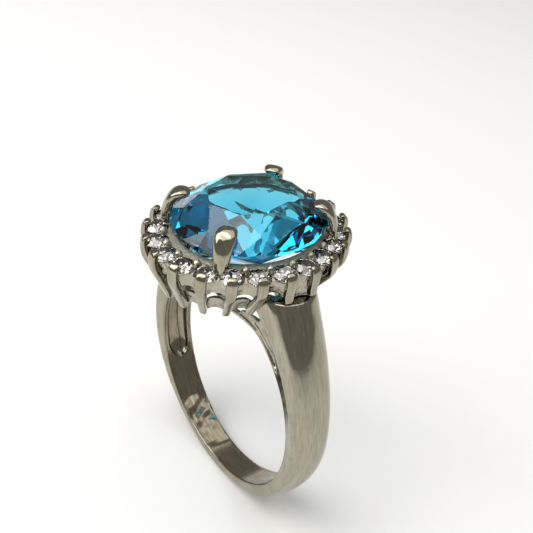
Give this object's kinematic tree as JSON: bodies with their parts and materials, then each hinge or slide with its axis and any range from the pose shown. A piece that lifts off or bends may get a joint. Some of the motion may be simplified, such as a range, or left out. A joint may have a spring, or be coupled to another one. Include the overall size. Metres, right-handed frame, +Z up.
{
  "type": "cocktail ring",
  "caption": "White gold cocktail ring: oval blue topaz in four claws, a claw-set halo of round diamonds on a scalloped open gallery, and a tapering shank with hollowed shoulders.",
  "frame": {"origin": "centre of the finger hole, in the middle of the shank's width", "axes": "+Z up from the finger through the centre stone, +Y along the finger hole's axis (the oval stone's long way), +X to one shoulder"},
  "size_m": [0.0218, 0.0164, 0.0274],
  "materials": {
    "white_gold": "polished 14 ct white gold, lightly worn",
    "topaz": "faceted blue topaz",
    "diamond": "round brilliant diamond"
  },
  "bodies": {
    "root": {"shank": "white_gold", "halo_plate": "white_gold", "lower_gallery": "white_gold", "basket_rail": "white_gold", "centre_claw_1": "white_gold", "centre_claw_2": "white_gold", "centre_claw_3": "white_gold", "centre_claw_4": "white_gold", "halo_claw_01": "white_gold", "halo_claw_02": "white_gold", "halo_claw_03": "white_gold", "halo_claw_04": "white_gold", "halo_claw_05": "white_gold", "halo_claw_06": "white_gold", "halo_claw_07": "white_gold", "halo_claw_08": "white_gold", "halo_claw_09": "white_gold", "halo_claw_10": "white_gold", "halo_claw_11": "white_gold", "halo_claw_12": "white_gold", "halo_claw_13": "white_gold", "halo_claw_14": "white_gold", "halo_claw_15": "white_gold", "halo_claw_16": "white_gold", "halo_claw_17": "white_gold", "halo_claw_18": "white_gold", "halo_claw_19": "white_gold", "halo_claw_20": "white_gold", "halo_claw_21": "white_gold", "halo_claw_22": "white_gold", "centre_topaz": "topaz", "halo_diamond_01": "diamond", "halo_diamond_02": "diamond", "halo_diamond_03": "diamond", "halo_diamond_04": "diamond", "halo_diamond_05": "diamond", "halo_diamond_06": "diamond", "halo_diamond_07": "diamond", "halo_diamond_08": "diamond", "halo_diamond_09": "diamond", "halo_diamond_10": "diamond", "halo_diamond_11": "diamond", "halo_diamond_12": "diamond", "halo_diamond_13": "diamond", "halo_diamond_14": "diamond", "halo_diamond_15": "diamond", "halo_diamond_16": "diamond", "halo_diamond_17": "diamond", "halo_diamond_18": "diamond", "halo_diamond_19": "diamond", "halo_diamond_20": "diamond", "halo_diamond_21": "diamond", "halo_diamond_22": "diamond"}
  },
  "joints": []
}
